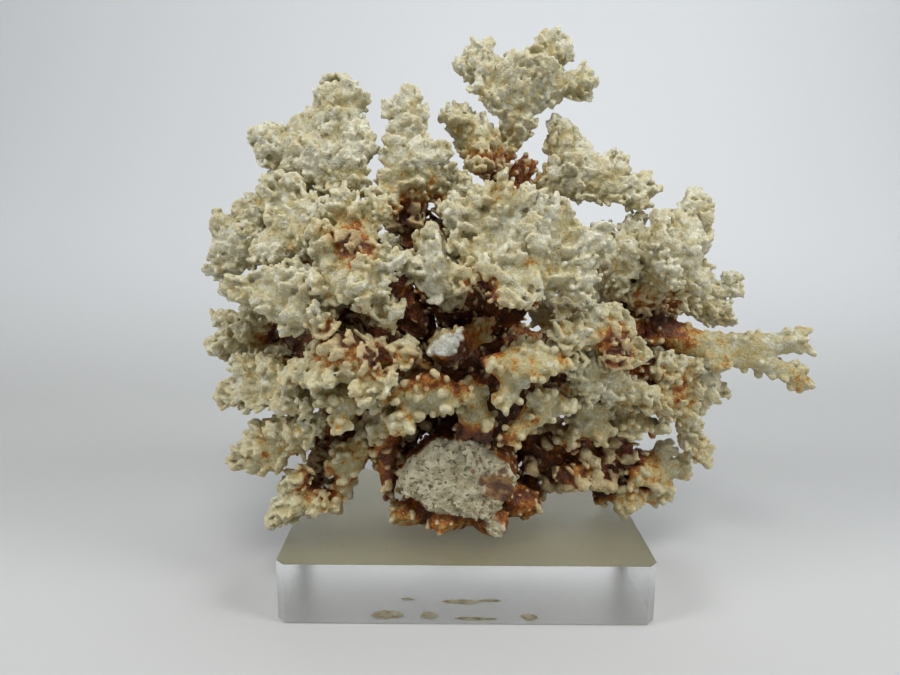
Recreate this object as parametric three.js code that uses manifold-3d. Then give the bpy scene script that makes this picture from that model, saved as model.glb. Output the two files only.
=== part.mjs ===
// A branching coral colony glued on a clear acrylic block.
// Millimetres, +Z up. The origin is the centre of the block's underside; +X is the
// viewer's right when the coral's broken stump faces them, and +Y points to the back.
//
// The block is one prism. The coral is split at its main forks: the holdfast with its
// broken stump, the limbs that leave it, and one frond for each limb end. A frond is a
// short stem that opens into a flattened palm, from which rounded lobes fan out.
import * as THREE from 'three';
import { mergeVertices } from 'three/addons/utils/BufferGeometryUtils.js';
import Module from 'manifold-3d';

const wasm = await Module();
wasm.setup();

// Driving dimensions of the block: 6 by 4 by 1 inch, with its upright edges cut off
const BLOCK_WIDTH = 152.4;
const BLOCK_DEPTH = 101.6;
const BLOCK_HEIGHT = 25.4;
const CORNER_CUT = 3.4;

// Room between neighbours: round the block, and round each piece of coral
const GAP = 0.3;
const CLEARANCE = 0.6;

// Limbs: sides of their sections, thickness over width, how far the dome at a tip and the
// blunt root reach in radii, and how much fatter than the fork a forking place may be
const LIMB_SIDES = 5;
const TRUNK_SIDES = 7;
const STUMP_SIDES = 12;
const LIMB_FLATNESS = 0.9;
const STUMP_FLATNESS = 0.73;
const CRUST_FLATNESS = 0.8;
const DOME_REACH = 0.9;
const ROOT_REACH = 0.8;
const FORK_SWELL = 1.15;

// Fronds: how finely their balls are divided, from how many lobes on the fine one is
// used, and how much farther out than square to a slanting skin its clearance is taken
const COARSE_DETAIL = 1;
const FINE_DETAIL = 2;
const MANY_LOBES = 9;
const SLANT = 1.6;
const SAME_CORNER = 1e-4;

const TOWARDS_VIEWER = [0, -1, 0];
const UPWARDS = [0, 0, 1];

const CORAL_CREAM = { color: 0xc9c4a4, roughness: 0.85, metalness: 0 };
const CORAL_BROWN = { color: 0x5a2a16, roughness: 0.8, metalness: 0 };
const STUMP_GREY = { color: 0xb4ae93, roughness: 0.9, metalness: 0 };
const CLEAR_ACRYLIC = { color: 0xf2f4f2, roughness: 0.05, metalness: 0 };

// Solids

// The solid inside a closed three.js geometry.
function solidOf(geometry) {
  geometry.deleteAttribute('normal');
  geometry.deleteAttribute('uv');
  const merged = mergeVertices(geometry);
  const corners = merged.index.array;
  const triangles = [];
  for (let i = 0; i < corners.length; i += 3) {
    const [a, b, c] = corners.subarray(i, i + 3);
    if (a !== b && b !== c && c !== a) triangles.push(a, b, c);
  }
  const vertProperties = new Float32Array(merged.attributes.position.array);
  const triVerts = new Uint32Array(triangles);
  return new wasm.Manifold(new wasm.Mesh({ numProp: 3, vertProperties, triVerts }));
}

function geometryOf(solid) {
  const { vertProperties, triVerts } = solid.getMesh();
  const geometry = new THREE.BufferGeometry();
  geometry.setAttribute('position', new THREE.BufferAttribute(vertProperties, 3));
  geometry.setIndex(new THREE.BufferAttribute(triVerts, 1));
  return geometry;
}

function joined(solids) {
  return solids.reduce((whole, solid) => whole.add(solid));
}

// The biggest piece that is left of a solid after its neighbours were cut out of it.
function largestPiece(solid) {
  const pieces = solid.decompose();
  return pieces.reduce((best, piece) => (piece.volume() > best.volume() ? piece : best));
}

// A limb's profile along its own axis: a blunt root, a straight taper and a domed or
// broken-off tip.
function limbProfile(rootRadius, tipRadius, length, brokenOff) {
  const end = brokenOff ? length : length + DOME_REACH * tipRadius;
  const outline = [[0, -ROOT_REACH * rootRadius], [rootRadius, 0], [tipRadius, length], [0, end]];
  return outline.map(([radius, along]) => new THREE.Vector2(radius, along));
}

// A tapered limb between two spots, each [x, y, z, radius]. `flatness` is its thickness
// along `facing` over its width, and `grow` makes it fatter all round.
function limb(from, to, { facing, flatness, sides, grow, brokenOff = false }) {
  const start = new THREE.Vector3(...from);
  const end = new THREE.Vector3(...to);
  const rootRadius = from[3] + grow;
  const tipRadius = to[3] + grow;
  const along = end.clone().sub(start);
  const profile = limbProfile(rootRadius, tipRadius, along.length(), brokenOff);
  const geometry = new THREE.LatheGeometry(profile, sides);
  geometry.scale(1, 1, grown(flatness, Math.min(from[3], to[3]), grow));
  along.normalize();
  const across = along.clone().cross(new THREE.Vector3(...facing)).normalize();
  const through = across.clone().cross(along);
  geometry.applyMatrix4(new THREE.Matrix4().makeBasis(across, along, through).setPosition(start));
  return solidOf(geometry);
}

// The flatness that a section of this radius has once it is fatter by `grow` all round.
function grown(flatness, radius, grow) {
  return (flatness * radius + grow) / (radius + grow);
}

// Limbs joined end to end along a list of spots.
function chain(spots, options) {
  return spots.slice(1).map((spot, i) => limb(spots[i], spot, options));
}

// A forked limb: a chain of spots, and a short limb from the last one to each fork.
function forkedLimb({ stem, forks }, grow) {
  const look = { facing: TOWARDS_VIEWER, flatness: LIMB_FLATNESS, sides: LIMB_SIDES, grow };
  const end = stem[stem.length - 1];
  const forkRoot = (fork) => [end[0], end[1], end[2], Math.min(end[3], FORK_SWELL * fork[3])];
  return joined([...chain(stem, look), ...forks.map((fork) => limb(forkRoot(fork), fork, look))]);
}

// How far a frond's surface lies from the middle of its palm in one direction. Each arm
// is a round-ended finger that starts at the palm, and the palm itself is round.
function reach(direction, palmRadius, arms) {
  const fingers = arms.map(({ aim, length, radius }) => {
    const ahead = direction.dot(aim);
    const aside = Math.sqrt(Math.max(0, 1 - ahead * ahead));
    if (ahead <= 0) return 0;
    if (aside * length > radius * ahead) return radius / aside;
    return length * ahead + Math.sqrt(Math.max(0, radius ** 2 - (length * aside) ** 2));
  });
  return Math.max(palmRadius, ...fingers);
}

// A frond: a ball round the palm, flattened along `facing`, whose skin is drawn out to
// the stem's root and to each lobe. The nearest corner of the ball goes to each tip.
function frond({ stem, lobes, facing, flatness }, grow) {
  const palm = stem[stem.length - 1];
  const middle = new THREE.Vector3(...palm);
  const through = new THREE.Vector3(...facing).normalize();
  const across = through.clone().cross(new THREE.Vector3(...UPWARDS)).normalize();
  const frame = new THREE.Matrix4().makeBasis(across, through.clone().cross(across), through);
  const flattened = frame.clone().scale(new THREE.Vector3(1, 1, flatness)).setPosition(middle);
  const unflattened = flattened.clone().invert();
  const arms = [...lobes, stem[stem.length - 2]].map((spot) => {
    const tip = new THREE.Vector3(...spot).applyMatrix4(unflattened);
    return { aim: tip.clone().normalize(), length: tip.length(), radius: spot[3] };
  });
  const geometry = new THREE.IcosahedronGeometry(1, lobes.length < MANY_LOBES ? COARSE_DETAIL : FINE_DETAIL);
  const skin = geometry.attributes.position;
  const corners = cornersOf(skin);
  for (const { aim } of arms) nearestFree(corners, aim).aim = aim;
  for (const { at, places, aim } of corners) {
    const direction = aim ?? at;
    const distance = reach(direction, palm[3], arms) + SLANT * grow;
    const place = direction.clone().multiplyScalar(distance);
    for (const i of places) skin.setXYZ(i, place.x, place.y, place.z);
  }
  geometry.applyMatrix4(flattened);
  const look = { facing, flatness, sides: LIMB_SIDES, grow };
  return joined([solidOf(geometry), ...chain(stem.slice(0, -1), look)]);
}

// The distinct corners of a ball, each with the places that it takes in the skin's list.
function cornersOf(skin) {
  const corners = [];
  for (let i = 0; i < skin.count; i += 1) {
    const at = new THREE.Vector3().fromBufferAttribute(skin, i);
    const known = corners.find((corner) => corner.at.distanceTo(at) < SAME_CORNER);
    if (known) known.places.push(i);
    else corners.push({ at, places: [i] });
  }
  return corners;
}

function nearestFree(corners, aim) {
  const free = corners.filter((corner) => !corner.aim);
  return free.reduce((best, corner) => (corner.at.dot(aim) > best.at.dot(aim) ? corner : best));
}

function block(grow) {
  const x = BLOCK_WIDTH / 2 + grow;
  const y = BLOCK_DEPTH / 2 + grow;
  const cut = CORNER_CUT;
  const outline = [
    [-x + cut, -y], [x - cut, -y], [x, -y + cut], [x, y - cut],
    [x - cut, y], [-x + cut, y], [-x, y - cut], [-x, -y + cut],
  ];
  const plan = new THREE.Shape(outline.map(([px, py]) => new THREE.Vector2(px, py)));
  return solidOf(new THREE.ExtrudeGeometry(plan, { depth: BLOCK_HEIGHT + grow, bevelEnabled: false }));
}

// The holdfast: the colony's heart, the broken stump that faces the viewer, and the
// crust that spreads over the top of the block as a ring of low lobes.
function holdfast(grow) {
  const heart = [5, 8, 48, 25];
  const heartTop = [5, 10, 78, 21];
  const stumpRoot = [2, 4, 54, 23];
  const stumpFace = [-4, -35, 53, 23.5];
  const crustTips = [
    [-28, -19, 33, 8], [-10, -28, 31, 6], [12, -28, 31, 7], [27, -17, 37, 9],
    [34, 4, 34, 9], [22, 26, 33, 9], [-6, 29, 32, 9], [-26, 10, 34, 9],
  ];
  const round = { facing: TOWARDS_VIEWER, flatness: 1, sides: TRUNK_SIDES, grow };
  const oval = { facing: UPWARDS, flatness: STUMP_FLATNESS, sides: STUMP_SIDES, grow, brokenOff: true };
  const low = { facing: UPWARDS, flatness: CRUST_FLATNESS, sides: LIMB_SIDES, grow };
  const crustRoot = [4, 0, 38, 15];
  return joined([
    limb(heart, heartTop, round),
    limb(stumpRoot, stumpFace, oval),
    ...crustTips.map((tip) => limb(crustRoot, tip, low)),
  ]);
}

// Limbs: [name, stem spots, spots where it forks], spots as [x, y, z, radius]
const LIMBS = [
  ['crown_limb',
    [[4, 12, 92, 16], [10, 10, 130, 13], [14, 10, 168, 9]],
    [[28, 8, 166, 7], [25, 8, 182, 5.5]]],
  ['front_limb',
    [[3, 0, 86, 13], [6, -6, 99, 11]],
    [[-14, -9, 99, 8], [-4, -9, 104, 8], [2, -10, 93, 6], [20, -12, 105, 8], [32, -12, 90, 6]]],
  ['centre_limb',
    [[6, 2, 108, 12], [10, -6, 118, 10]],
    [[20, -12, 125, 9], [-4, -14, 126, 8]]],
  ['right_limb',
    [[18, 8, 84, 15], [48, 4, 102, 12], [70, 0, 114, 10]],
    [[48, -8, 112, 9], [78, 0, 92, 9], [46, -6, 94, 8], [88, 14, 118, 8]]],
  ['lower_right_limb',
    [[20, 4, 58, 15], [48, 0, 52, 10], [66, 4, 46, 8]],
    [[82, 8, 40, 6], [62, 3, 38, 6], [72, 0, 62, 6], [47, -3, 64, 7], [42, -17, 50, 5]]],
  ['left_limb',
    [[-8, 8, 80, 15], [-34, 0, 98, 13], [-56, -6, 110, 10]],
    [[-48, -14, 122, 9], [-70, -8, 100, 8], [-78, 0, 109, 8], [-62, -14, 118, 9], [-46, -16, 106, 9]]],
  ['upper_left_limb',
    [[-20, 6, 110, 11], [-36, 2, 132, 10], [-50, -4, 154, 9]],
    [[-76, 4, 148, 8], [-66, -6, 142, 9]]],
  ['middle_top_limb',
    [[-8, 4, 114, 10], [-15, 0, 136, 10], [-23, -6, 154, 8]],
    [[-8, -2, 156, 5]]],
  ['lower_left_limb',
    [[-14, 2, 64, 14], [-38, -4, 62, 10], [-58, -7, 63, 8]],
    [[-63, -7, 51, 6], [-44, -7, 63, 7], [-31, -10, 63, 7]]],
  ['back_limb',
    [[6, 24, 80, 16], [8, 42, 102, 13]],
    [[9, 44, 126, 9], [40, 40, 94, 9], [-34, 42, 92, 9], [36, 34, 66, 8], [-32, 32, 64, 8], [5, 52, 72, 9]]],
];

// Fronds: name, direction that the blade faces, flatness, stem spots, lobe tips
const FRONT_FRONDS = [
  ['centre_frond', [0.15, -1, 0.25], 0.6,
    [[22, -18, 128, 9], [21, -34, 147, 15]],
    [[3, -38, 163, 9], [13, -40, 167, 9], [24, -43, 165, 8], [33, -43, 165, 7.5], [43, -42, 157, 6],
      [44, -42, 149, 7.5], [40, -44, 138, 7], [27, -48, 134, 7], [14, -50, 134, 8],
      [5, -48, 143, 9], [-3, -44, 151, 8], [21, -46, 153, 11], [-4, -38, 162, 6]]],
  ['left_mid_frond', [-0.1, -1, 0.2], 0.6,
    [[-47, -21, 127, 11], [-46, -38, 144, 14]],
    [[-47, -36, 163, 6.5], [-54, -42, 152, 7.5], [-38, -32, 161, 6], [-33, -44, 144, 7],
      [-32, -46, 133, 6.5], [-40, -50, 135, 8.5], [-51, -48, 136, 8.5], [-45, -46, 149, 8],
      [-31, -42, 124, 4.5]]],
  ['left_under_frond', [-0.1, -1, -0.1], 0.65,
    [[-49, -24, 107, 10], [-48, -38, 107, 11]],
    [[-62, -40, 107, 6.5], [-53, -46, 114, 6.5], [-45, -50, 114, 7.5], [-37, -50, 108, 7],
      [-36, -48, 98, 5.5], [-66, -40, 100, 6], [-55, -46, 101, 6.5], [-40, -48, 96, 5],
      [-28, -42, 112, 6], [-25, -42, 108, 4.5]]],
  ['broken_stub', TOWARDS_VIEWER, 0.95,
    [[-3, -18, 106, 7], [-7, -30, 109, 8]],
    [[-9, -44, 113, 8], [5, -24, 115, 6]]],
  ['centre_claws', [0, -1, -0.1], 0.7,
    [[22, -20, 105, 8], [21, -36, 105, 8]],
    [[11, -46, 98, 4.5], [14, -46, 91, 3.8], [8, -44, 106, 5], [21, -50, 104, 6],
      [26, -48, 99, 4.5], [32, -46, 107, 5.5], [30, -40, 111, 5.5], [16, -48, 110, 6]]],
  ['centre_left_claws', [0, -1, -0.1], 0.75,
    [[-18, -17, 99, 7], [-19, -34, 95, 8]],
    [[-25, -42, 93, 6.5], [-28, -44, 81, 4.5], [-32, -40, 92, 5], [-16, -44, 99, 6],
      [-11, -46, 92, 5], [-8, -44, 82, 4.5], [-8, -40, 100, 5], [-3, -40, 91, 4.5]]],
  ['centre_right_claws', TOWARDS_VIEWER, 0.85,
    [[3, -17, 92, 6], [2, -26, 88, 6]],
    [[-1, -34, 82, 5], [-2, -32, 71, 3.5], [6, -34, 80, 5], [7, -34, 75, 4], [3, -32, 86, 4.5]]],
  ['centre_low_claws', TOWARDS_VIEWER, 0.85,
    [[34, -18, 87, 5], [32, -28, 86, 5.5]],
    [[28, -36, 84, 5], [34, -36, 83, 4.5], [39, -32, 87, 5], [30, -36, 91, 4.5],
      [21, -34, 80, 5.5], [18, -36, 75, 4.8]]],
  ['centre_left_frond', [-0.2, -1, 0.1], 0.7,
    [[-7, -22, 128, 7], [-9, -34, 141, 9]],
    [[-15, -36, 150, 6.5], [-18, -38, 142, 7], [-11, -44, 145, 6.5], [-3, -46, 140, 6.5],
      [-14, -40, 135, 6]]],
];

const RIGHT_FRONDS = [
  ['right_centre_frond', [0.2, -1, -0.1], 0.7,
    [[51, -16, 114, 8], [53, -28, 114, 9]],
    [[57, -34, 123, 7], [42, -40, 122, 6.5], [62, -34, 116, 6], [57, -38, 108, 6],
      [65, -28, 108, 5], [53, -34, 127, 5.5], [38, -42, 115, 5]]],
  ['right_low_frond', [0.1, -1, -0.2], 0.7,
    [[49, -14, 96, 8], [50, -26, 100, 8]],
    [[39, -34, 98, 6.5], [49, -32, 93, 7], [58, -32, 100, 6], [67, -28, 94, 5.5],
      [73, -22, 86, 5], [54, -30, 109, 5], [40, -36, 106, 5]]],
  ['right_cavity_frond', TOWARDS_VIEWER, 0.85,
    [[50, -8, 73, 6], [53, -14, 78, 7]],
    [[49, -22, 86, 6.5], [58, -20, 80, 6], [57, -18, 71, 5.5], [49, -16, 69, 5.5],
      [43, -16, 66, 4.5]]],
  ['right_upper_frond', [0.3, -1, 0.3], 0.8,
    [[75, -5, 128, 8], [79, -8, 142, 12]],
    [[86, -6, 160, 8], [97, -2, 163, 6.5], [99, -4, 153, 7], [98, -8, 142, 7],
      [88, -18, 148, 8.5], [76, -16, 152, 8], [80, -20, 138, 7.5], [95, -8, 131, 7]]],
  ['right_inner_frond', [0.2, -1, 0.4], 0.75,
    [[67, 0, 127, 7], [66, -4, 138, 9]],
    [[65, 0, 149, 7], [72, 2, 154, 6], [59, -10, 142, 7], [67, -14, 143, 7.5],
      [62, -12, 134, 6.5], [60, 6, 150, 6]]],
  ['right_back_lobes', [0.2, -1, 0.1], 0.6,
    [[98, 22, 121, 6], [110, 24, 122, 7]],
    [[123, 24, 128, 6], [113, 22, 130, 5], [118, 22, 116, 6], [111, 20, 114, 4.5]]],
  ['long_right_branch', [0.1, -1, 0.2], 0.6,
    [[82, -3, 111, 11], [101, -8, 106, 8], [119, -8, 104, 7]],
    [[128, -10, 110, 6], [137, -8, 112, 5.5], [147, -6, 108, 3.5], [128, -12, 98, 5.5],
      [139, -10, 93, 5], [147, -8, 92, 3.5], [109, -12, 98, 4.5]]],
  ['right_lower_frond', [0.3, -1, -0.1], 0.7,
    [[85, -2, 88, 8], [94, -4, 81, 9]],
    [[103, -6, 88, 6], [111, 0, 83, 3.5], [108, -2, 77, 5], [86, -14, 96, 7], [97, -10, 96, 6],
      [80, -16, 85, 6], [88, -10, 77, 6], [100, -6, 70, 6], [107, -2, 65, 5], [105, -2, 56, 4.5]]],
  ['right_under_frond', [0, -1, -0.2], 0.7,
    [[74, -3, 69, 6], [76, -6, 74, 7]],
    [[67, -12, 80, 6], [84, -8, 70, 5.5], [74, -14, 67, 6], [67, -14, 72, 5]]],
  ['lower_right_knobs', [0.2, -1, 0], 0.9,
    [[87, 8, 40, 6], [89, 6, 46, 6]],
    [[80, 2, 51, 6], [92, 4, 53, 5.5], [101, 6, 45, 5.5], [93, 2, 36, 5.5], [79, -6, 44, 4.5]]],
  ['lower_right_foot', TOWARDS_VIEWER, 0.9,
    [[66, 2, 35, 6], [71, 0, 35, 6]],
    [[77, -2, 34, 7.5], [85, 2, 34, 5.5], [72, -5, 31, 4]]],
];

const LEFT_FRONDS = [
  ['left_front_frond', [-0.3, -1, 0.1], 0.7,
    [[-64, -22, 120, 9], [-69, -34, 128, 11]],
    [[-81, -34, 138, 7.5], [-88, -32, 131, 6], [-68, -42, 139, 7.5], [-59, -46, 134, 7],
      [-76, -42, 127, 7], [-56, -46, 123, 6.5], [-65, -46, 123, 7]]],
  ['left_upper_frond', [-0.3, -1, 0.2], 0.65,
    [[-69, -12, 146, 9], [-68, -20, 158, 11]],
    [[-73, -18, 169, 8], [-62, -24, 166, 6], [-76, -22, 159, 7], [-54, -30, 161, 6.5],
      [-57, -32, 153, 8.5], [-71, -28, 151, 8.5], [-78, -26, 147, 8]]],
  ['far_left_upper_frond', [-0.5, -1, 0.1], 0.7,
    [[-87, 5, 146, 7], [-95, 2, 147, 8]],
    [[-104, 2, 153, 6.5], [-103, -4, 149, 6], [-99, -2, 140, 7], [-92, 2, 157, 7],
      [-107, 0, 138, 4], [-91, -10, 150, 7]]],
  ['far_left_middle_frond', [-0.4, -1, 0], 0.7,
    [[-86, 0, 108, 7], [-93, -6, 109, 9]],
    [[-103, -6, 114, 6.5], [-104, -8, 106, 6], [-96, -12, 103, 6], [-90, -16, 116, 7],
      [-98, -14, 115, 6]]],
  ['left_lower_upper_frond', [-0.3, -1, -0.1], 0.7,
    [[-75, -14, 96, 7], [-80, -22, 94, 9]],
    [[-91, -22, 98, 6], [-97, -20, 87, 5.5], [-87, -26, 85, 6], [-77, -32, 88, 7],
      [-71, -34, 95, 7], [-80, -32, 100, 7], [-67, -34, 88, 5.5], [-90, -20, 78, 4]]],
  ['left_lower_middle_frond', [-0.3, -1, -0.1], 0.7,
    [[-68, -12, 65, 6], [-77, -20, 67, 7]],
    [[-88, -22, 70, 6], [-96, -20, 58, 4.5], [-86, -26, 62, 6], [-74, -32, 77, 6],
      [-70, -26, 65, 5], [-87, -22, 51, 4], [-65, -30, 75, 5.5], [-79, -26, 57, 4.5]]],
  ['left_lowest_frond', [-0.2, -1, -0.1], 0.7,
    [[-66, -10, 48, 5], [-72, -18, 45, 7]],
    [[-77, -22, 45, 6], [-79, -24, 36, 5], [-69, -26, 36, 6.5], [-62, -24, 41, 4.5],
      [-70, -26, 53, 5]]],
  ['hanging_lobes', [0, -1, -0.1], 0.85,
    [[-48, -26, 92, 7], [-47, -34, 90, 7]],
    [[-51, -40, 82, 5], [-54, -40, 90, 5], [-42, -42, 87, 4.5], [-38, -38, 90, 5]]],
  ['left_low_fork', TOWARDS_VIEWER, 0.85,
    [[-46, -14, 63, 6], [-44, -22, 65, 6]],
    [[-51, -28, 63, 5], [-59, -26, 54, 4.5], [-54, -20, 44, 6], [-49, -22, 54, 5],
      [-57, -16, 37, 3.5]]],
  ['low_centre_curl', TOWARDS_VIEWER, 0.85,
    [[-32, -16, 65, 6], [-33, -28, 76, 6]],
    [[-34, -36, 80, 5], [-38, -34, 75, 4.5], [-37, -30, 66, 4.5], [-31, -36, 85, 4.5],
      [-33, -22, 46, 4]]],
];

const TOP_FRONDS = [
  ['crown_frond', [0.1, -1, 0.2], 0.55,
    [[15, 9, 178, 7], [19, 8, 193, 8], [21, 5, 209, 10]],
    [[5, 6, 221, 8.5], [6, 2, 211, 7], [20, 8, 230, 7.5], [25, 0, 220, 8], [35, 8, 227, 7.5],
      [40, 4, 217, 7], [48, 6, 215, 5]]],
  ['crown_shoulder', [-0.2, -1, 0.2], 0.6,
    [[11, 5, 181, 6], [8, 5, 186, 8]],
    [[-4, 6, 200, 8], [-5, 2, 194, 6], [4, 0, 194, 7.5], [4, -6, 181, 4.5]]],
  ['right_top_branch', [0.1, -1, 0.3], 0.6,
    [[33, 8, 172, 7], [40, 6, 178, 9], [52, 4, 174, 8]],
    [[41, 8, 193, 6.5], [37, 4, 188, 6], [45, 0, 186, 6], [59, 2, 179, 7], [67, 6, 186, 6.5],
      [74, 5, 176, 5.5], [73, 2, 169, 5], [61, 0, 168, 6]]],
  ['top_left_frond', [-0.2, -1, 0.15], 0.6,
    [[-52, -7, 162, 8], [-52, -10, 177, 11]],
    [[-51, -6, 207, 9], [-63, -4, 201, 7.5], [-44, -8, 198, 7], [-75, -2, 196, 8],
      [-82, -2, 187, 7], [-79, -4, 179, 6.5], [-64, -12, 186, 9], [-45, -12, 187, 7.5],
      [-46, -14, 175, 7], [-61, -14, 178, 7]]],
  ['left_shoulder_frond', [-0.2, -1, 0.3], 0.6,
    [[-81, 3, 156, 7], [-79, 2, 166, 8]],
    [[-86, 4, 170, 6.5], [-74, 2, 175, 6], [-70, -8, 167, 6], [-93, 6, 163, 6]]],
  ['top_middle_frond', [0, -1, 0.2], 0.65,
    [[-24, -8, 158, 8], [-25, -10, 169, 9]],
    [[-24, -6, 201, 8.5], [-29, -8, 192, 7], [-34, -12, 186, 5], [-21, -18, 183, 8],
      [-12, -14, 182, 5.5], [-32, -14, 175, 7], [-33, -16, 165, 6], [-18, -18, 173, 5.5],
      [-26, -2, 182, 6]]],
  ['top_middle_side', [0.2, -1, 0.3], 0.7,
    [[-6, -4, 161, 5], [-5, -6, 167, 6]],
    [[-1, -8, 173, 6.5], [-7, -10, 176, 5.5], [-12, -10, 171, 4], [2, -14, 169, 4.5],
      [-8, -12, 163, 4.5]]],
];

const BACK_FRONDS = [
  ['back_top_frond', [0.1, 1, 0.4], 0.7,
    [[9, 47, 132, 9], [12, 50, 138, 11]],
    [[-8, 48, 150, 8], [8, 48, 154, 8], [25, 46, 150, 8], [0, 60, 144, 8], [18, 62, 142, 8],
      [34, 52, 140, 7]]],
  ['back_upper_left_frond', [-0.3, 1, 0.4], 0.7,
    [[-36, 34, 116, 8], [-48, 40, 128, 11]],
    [[-63, 36, 142, 8], [-48, 38, 150, 8], [-33, 44, 146, 8], [-68, 46, 128, 8],
      [-52, 56, 136, 8], [-35, 58, 130, 8]]],
  ['back_upper_right_frond', [0.3, 1, 0.4], 0.7,
    [[48, 30, 114, 8], [60, 38, 126, 11]],
    [[48, 38, 143, 8], [66, 36, 143, 8], [81, 34, 136, 8], [84, 45, 122, 8], [68, 55, 132, 8],
      [52, 56, 128, 8]]],
  ['back_far_left_frond', [-1, 0.4, 0.1], 0.7,
    [[-64, 22, 98, 8], [-80, 32, 106, 10]],
    [[-95, 22, 122, 8], [-103, 27, 107, 8], [-88, 42, 120, 8], [-93, 45, 104, 8],
      [-99, 32, 92, 8], [-84, 50, 92, 7]]],
  ['back_far_right_frond', [1, 0.4, 0.1], 0.7,
    [[74, 26, 94, 8], [86, 34, 98, 10]],
    [[100, 34, 112, 8], [107, 32, 98, 8], [90, 48, 110, 8], [96, 48, 95, 8], [100, 36, 84, 7]]],
  ['back_centre_frond', [0, 1, 0], 0.7,
    [[7, 58, 96, 9], [6, 68, 101, 12]],
    [[-12, 74, 118, 9], [6, 79, 119, 9], [24, 75, 114, 9], [-15, 82, 100, 8], [5, 88, 101, 9],
      [24, 82, 97, 8], [5, 82, 84, 8]]],
  ['back_left_frond', [-0.3, 1, 0], 0.7,
    [[-39, 50, 92, 8], [-46, 60, 96, 10]],
    [[-61, 60, 112, 8], [-44, 70, 113, 8], [-30, 72, 102, 8], [-65, 66, 95, 8],
      [-48, 77, 95, 8], [-34, 74, 85, 7]]],
  ['back_right_frond', [0.3, 1, 0], 0.7,
    [[44, 48, 92, 8], [54, 58, 96, 10]],
    [[40, 70, 110, 8], [57, 66, 113, 8], [72, 60, 106, 8], [74, 64, 91, 8], [58, 75, 92, 8],
      [43, 76, 86, 7]]],
  ['back_low_left_frond', [-0.4, 1, -0.2], 0.7,
    [[-40, 38, 64, 7], [-52, 46, 64, 9]],
    [[-70, 44, 72, 8], [-73, 48, 57, 7], [-58, 58, 72, 8], [-60, 60, 56, 7], [-45, 62, 62, 8]]],
  ['back_low_right_frond', [0.4, 1, -0.2], 0.7,
    [[40, 40, 66, 7], [46, 48, 68, 9]],
    [[62, 50, 76, 8], [60, 57, 65, 6], [46, 64, 75, 8], [34, 66, 64, 7], [45, 62, 58, 6]]],
  ['back_low_centre_frond', [0, 1, -0.3], 0.7,
    [[5, 56, 66, 8], [4, 62, 62, 9]],
    [[-14, 68, 68, 8], [4, 76, 70, 8], [21, 70, 66, 8], [-9, 72, 51, 7], [12, 72, 50, 7]]],
];

// Pieces in the order in which each one clears the room that it needs.

function limbPiece([name, stem, forks]) {
  return { name, look: CORAL_BROWN, solid: (grow) => forkedLimb({ stem, forks }, grow) };
}

function frondPiece([name, facing, flatness, stem, lobes]) {
  return { name, look: CORAL_CREAM, solid: (grow) => frond({ stem, lobes, facing, flatness }, grow) };
}

function pieces() {
  return [
    { name: 'acrylic_block', look: CLEAR_ACRYLIC, solid: block },
    { name: 'holdfast', look: STUMP_GREY, solid: holdfast },
    ...LIMBS.map(limbPiece),
    ...[...FRONT_FRONDS, ...RIGHT_FRONDS, ...LEFT_FRONDS, ...TOP_FRONDS, ...BACK_FRONDS].map(frondPiece),
  ];
}

function boxesMeet(a, b) {
  return [0, 1, 2].every((axis) => a.min[axis] < b.max[axis] && b.min[axis] < a.max[axis]);
}

// Every piece but the first is cut back from the pieces before it, so that two
// neighbours never share space and a hairline stays open between them.
function carved(list) {
  const rooms = [];
  return list.map(({ name, look, solid }) => {
    const whole = solid(0);
    const near = rooms.filter((room) => boxesMeet(room.boundingBox(), whole.boundingBox()));
    const rest = near.reduce((left, room) => left.subtract(room), whole);
    rooms.push(solid(name === 'acrylic_block' ? GAP : CLEARANCE));
    return { name, look, solid: largestPiece(rest) };
  });
}

function coralOnBlock() {
  const group = new THREE.Group();
  for (const { name, look, solid } of carved(pieces())) {
    const mesh = new THREE.Mesh(geometryOf(solid), new THREE.MeshStandardMaterial(look));
    mesh.name = name;
    group.add(mesh);
  }
  return group;
}

export default coralOnBlock();
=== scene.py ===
"""The looks of a branching coral on a clear acrylic block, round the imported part.

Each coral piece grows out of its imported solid: the solid becomes a distance field, its
corners are rounded, lobes, flaps and short knobs are added to it, and the field's surface
becomes the mesh. How deep a spot lies inside the colony, and how near the limbs, sets how
far it is stained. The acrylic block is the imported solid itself.
Lengths are millimetres until a mesh is written, and metres in Blender.
"""

import math
from collections import namedtuple

import bpy
import numpy as np
import openvdb as vdb
from mathutils import Matrix, Vector


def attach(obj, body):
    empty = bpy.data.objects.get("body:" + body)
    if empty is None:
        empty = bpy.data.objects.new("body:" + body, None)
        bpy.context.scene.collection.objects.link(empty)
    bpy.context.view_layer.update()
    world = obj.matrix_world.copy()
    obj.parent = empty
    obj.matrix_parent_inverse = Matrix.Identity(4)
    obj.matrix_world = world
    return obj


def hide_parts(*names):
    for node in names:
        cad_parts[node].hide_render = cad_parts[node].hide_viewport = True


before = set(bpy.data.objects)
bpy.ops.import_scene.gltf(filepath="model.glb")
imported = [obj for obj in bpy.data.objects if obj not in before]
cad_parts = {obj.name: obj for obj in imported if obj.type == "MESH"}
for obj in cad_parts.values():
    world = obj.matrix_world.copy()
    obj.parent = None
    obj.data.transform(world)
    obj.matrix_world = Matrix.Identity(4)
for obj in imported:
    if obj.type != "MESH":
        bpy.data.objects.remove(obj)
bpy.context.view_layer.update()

MM = 0.001
UP = np.array([0.0, 0.0, 1.0])
BLOCK = "acrylic_block"
# The seed of the first piece, and the range that the seeds of its noise are drawn from
SEED = 11
SEED_RANGE = 1 << 30

STEP_FRONT = 0.87
STEP_BACK = 1.4
STEP_LIMB = 1.15
STEP_HOLDFAST = 0.75
# The space a grid leaves round its solid, and the largest distance it holds
MARGIN = 6.0
BAND = 7.0
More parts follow.
